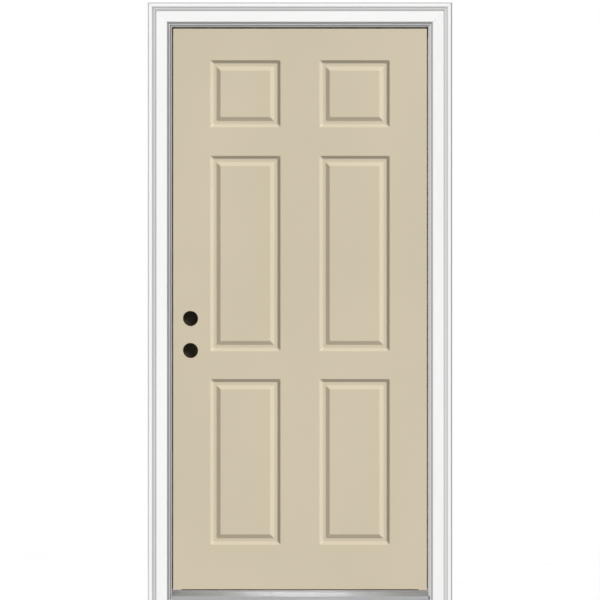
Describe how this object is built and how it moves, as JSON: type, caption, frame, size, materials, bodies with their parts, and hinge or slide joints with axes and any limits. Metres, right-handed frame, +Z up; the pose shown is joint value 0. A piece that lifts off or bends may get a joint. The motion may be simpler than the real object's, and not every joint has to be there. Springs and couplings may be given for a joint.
{
  "type": "panelled front door with frame",
  "caption": "Hinged steel entry door leaf with raised panels, hung in a white frame with mitred outer moulding, weatherstrips and sill, and bored for a latch and a deadbolt.",
  "frame": {"origin": "middle of the sill's underside, in the plane where the outer moulding's back meets the outside wall face", "axes": "+X to the right seen from outside, +Y into the house, +Z up; the hinges are at +X and the lock side at -X"},
  "size_m": [1.068, 0.1653, 2.0975],
  "materials": {
    "leaf_paint": "tan satin factory paint",
    "jamb_paint": "white primed and painted pine",
    "mould_paint": "white primed and painted pine",
    "seal_foam": "dark bronze foam-filled vinyl",
    "sill_composite": "grey wood-plastic composite",
    "mill_aluminium": "mill extrusion",
    "cap_composite": "clear lacquered hardwood",
    "zinc_steel": "zinc plated",
    "hinge_steel": "satin nickel plated",
    "pine": "raw finger-jointed pine",
    "bottom_composite": "raw composite rail",
    "core_foam": "rigid polyurethane foam",
    "black_plastic": "matt black",
    "sweep_vinyl": "black vinyl"
  },
  "bodies": {
    "frame": {"head_jamb": "jamb_paint", "strike_jamb": "jamb_paint", "hinge_jamb": "jamb_paint", "brickmould_head": "mould_paint", "brickmould_strike_side": "mould_paint", "brickmould_hinge_side": "mould_paint", "weatherstrip_head": "seal_foam", "weatherstrip_strike_side": "seal_foam", "weatherstrip_hinge_side": "seal_foam", "corner_pads": "seal_foam", "sill_base": "sill_composite", "sill_deck": "mill_aluminium", "head_screws": "zinc_steel", "sill_end_screws": "zinc_steel", "hinge_top_frame_leaf": "hinge_steel", "hinge_middle_frame_leaf": "hinge_steel", "hinge_bottom_frame_leaf": "hinge_steel", "hinge_top_pin": "hinge_steel", "hinge_middle_pin": "hinge_steel", "hinge_bottom_pin": "hinge_steel", "hinge_bearings": "hinge_steel", "hinge_frame_screws": "hinge_steel"},
    "door": {"skin_outside": "leaf_paint", "skin_inside": "leaf_paint", "lock_stile": "pine", "hinge_stile": "pine", "top_rail": "pine", "bottom_rail": "bottom_composite", "lock_block": "pine", "foam_core": "core_foam", "deadbolt_bore_cap": "black_plastic", "latch_bore_cap": "black_plastic", "door_sweep": "sweep_vinyl", "hinge_top_door_leaf": "hinge_steel", "hinge_middle_door_leaf": "hinge_steel", "hinge_bottom_door_leaf": "hinge_steel", "hinge_door_screws": "hinge_steel"},
    "sill_cap_strip": {"sill_cap": "cap_composite"},
    "cap_screw_1_body": {"cap_screw_1": "zinc_steel"},
    "cap_screw_2_body": {"cap_screw_2": "zinc_steel"},
    "cap_screw_3_body": {"cap_screw_3": "zinc_steel"},
    "cap_screw_4_body": {"cap_screw_4": "zinc_steel"}
  },
  "joints": [
    {"name": "door_swing", "type": "hinge", "parent": "frame", "child": "door", "pos_m": [0.4585, 0.125, 1.077], "axis": [0, 0, -1], "range_deg": [0, 170]},
    {"name": "sill_cap_lift", "type": "slide", "parent": "frame", "child": "sill_cap_strip", "axis": [0, 0, 1], "range_m": [-0.004, 0]},
    {"name": "cap_screw_1_turn", "type": "hinge", "parent": "sill_cap_strip", "child": "cap_screw_1_body", "pos_m": [-0.34275, 0.0885, 0.02], "axis": [0, 0, 1], "range_deg": [-580, 0]},
    {"name": "cap_screw_2_turn", "type": "hinge", "parent": "sill_cap_strip", "child": "cap_screw_2_body", "pos_m": [-0.11425, 0.0885, 0.02], "axis": [0, 0, 1], "range_deg": [-580, 0]},
    {"name": "cap_screw_3_turn", "type": "hinge", "parent": "sill_cap_strip", "child": "cap_screw_3_body", "pos_m": [0.11425, 0.0885, 0.02], "axis": [0, 0, 1], "range_deg": [-580, 0]},
    {"name": "cap_screw_4_turn", "type": "hinge", "parent": "sill_cap_strip", "child": "cap_screw_4_body", "pos_m": [0.34275, 0.0885, 0.02], "axis": [0, 0, 1], "range_deg": [-580, 0]}
  ],
  "couplings": [
    {"joint": "cap_screw_1_turn", "follows": "sill_cap_lift", "rad_per_m": 2513.3},
    {"joint": "cap_screw_2_turn", "follows": "sill_cap_lift", "rad_per_m": 2513.3},
    {"joint": "cap_screw_3_turn", "follows": "sill_cap_lift", "rad_per_m": 2513.3},
    {"joint": "cap_screw_4_turn", "follows": "sill_cap_lift", "rad_per_m": 2513.3}
  ]
}
